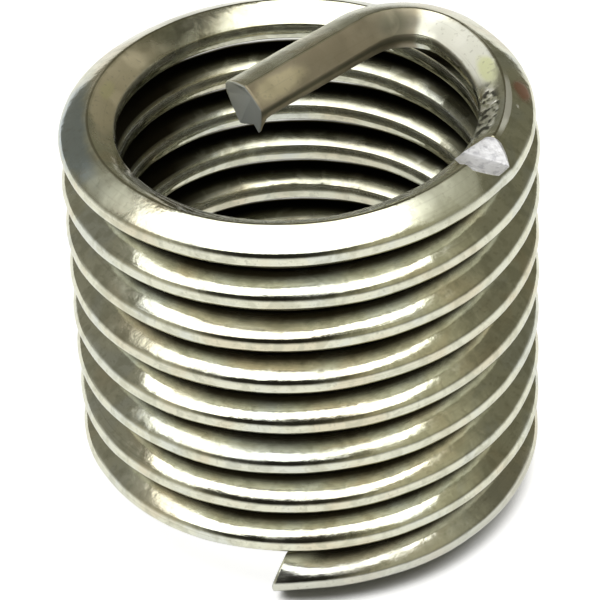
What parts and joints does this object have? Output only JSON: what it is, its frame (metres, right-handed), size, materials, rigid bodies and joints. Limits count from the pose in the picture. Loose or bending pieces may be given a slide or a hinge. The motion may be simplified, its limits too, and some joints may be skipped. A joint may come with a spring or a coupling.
{
  "type": "threaded insert",
  "caption": "Wire thread insert: a diamond-section stainless wire wound as a right-hand coil, with a break-off notch and a tang turned across the bore.",
  "frame": {"origin": "on the coil's axis, at the level of its lowest point", "axes": "+Z along the coil's axis towards the tang, -Y is the front, where the lower end of the wire is, +X to its right"},
  "size_m": [0.0184, 0.0184, 0.0188],
  "materials": {
    "wire": "bright rolled stainless steel, with fine drawing lines along the wire"
  },
  "bodies": {
    "root": {"wire_coil": "wire"}
  },
  "joints": []
}
